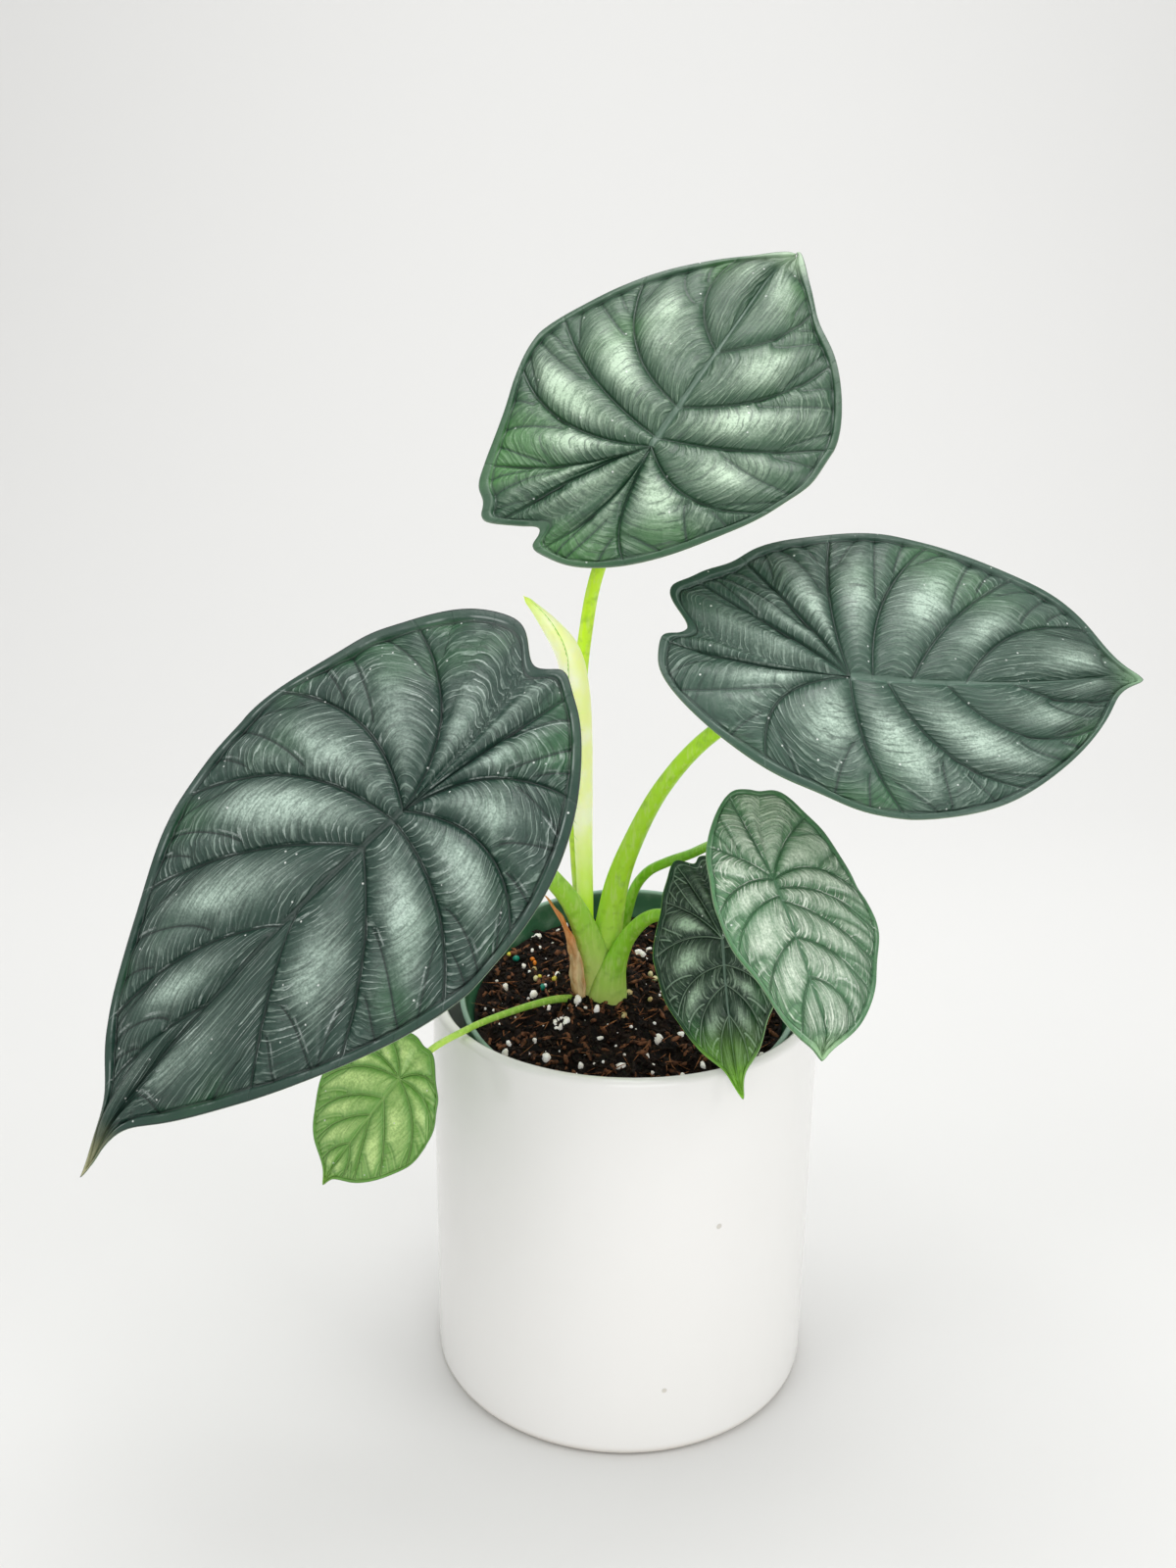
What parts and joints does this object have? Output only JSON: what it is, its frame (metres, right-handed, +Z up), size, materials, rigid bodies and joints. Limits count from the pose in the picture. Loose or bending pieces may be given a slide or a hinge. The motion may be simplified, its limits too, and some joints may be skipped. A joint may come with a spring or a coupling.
{
  "type": "potted dragon scale alocasia",
  "caption": "Potted aroid with quilted, arrow-shaped leaves on upright stalks, in a nursery pot inside a plain cylindrical glazed cover pot.",
  "frame": {"origin": "centre of the cover pot's flat base, on the surface that it stands on", "axes": "+Z up along the cover pot's axis, -Y towards the front, where the leaves' faces and the nursery pot's lowest rim look, +X to the right as seen from the front"},
  "size_m": [0.2858, 0.1604, 0.3458],
  "materials": {
    "glazed_white": "gloss",
    "green_plastic": "satin",
    "potting_soil": "matte",
    "crown_tissue": "matte",
    "dry_sheath": "matte",
    "leaf_large": "satin",
    "leaf_top": "satin",
    "leaf_right": "satin",
    "leaf_dark": "satin",
    "leaf_pale": "satin",
    "leaf_young": "satin",
    "stalk_green": "satin",
    "stalk_young": "satin",
    "new_leaf_green": "satin"
  },
  "bodies": {
    "root": {"cover_pot": "glazed_white", "nursery_pot": "green_plastic", "soil": "potting_soil", "crown": "crown_tissue", "dry_sheath": "dry_sheath", "leaf_large_left": "leaf_large", "leaf_top": "leaf_top", "leaf_right": "leaf_right", "leaf_small_dark": "leaf_dark", "leaf_small_pale": "leaf_pale", "leaf_young_low": "leaf_young", "stalk_right": "stalk_green", "stalk_large_left": "stalk_green", "stalk_top": "stalk_green", "stalk_small_pale": "stalk_green", "stalk_small_dark": "stalk_green", "stalk_young": "stalk_young", "new_leaf": "new_leaf_green"}
  },
  "joints": []
}
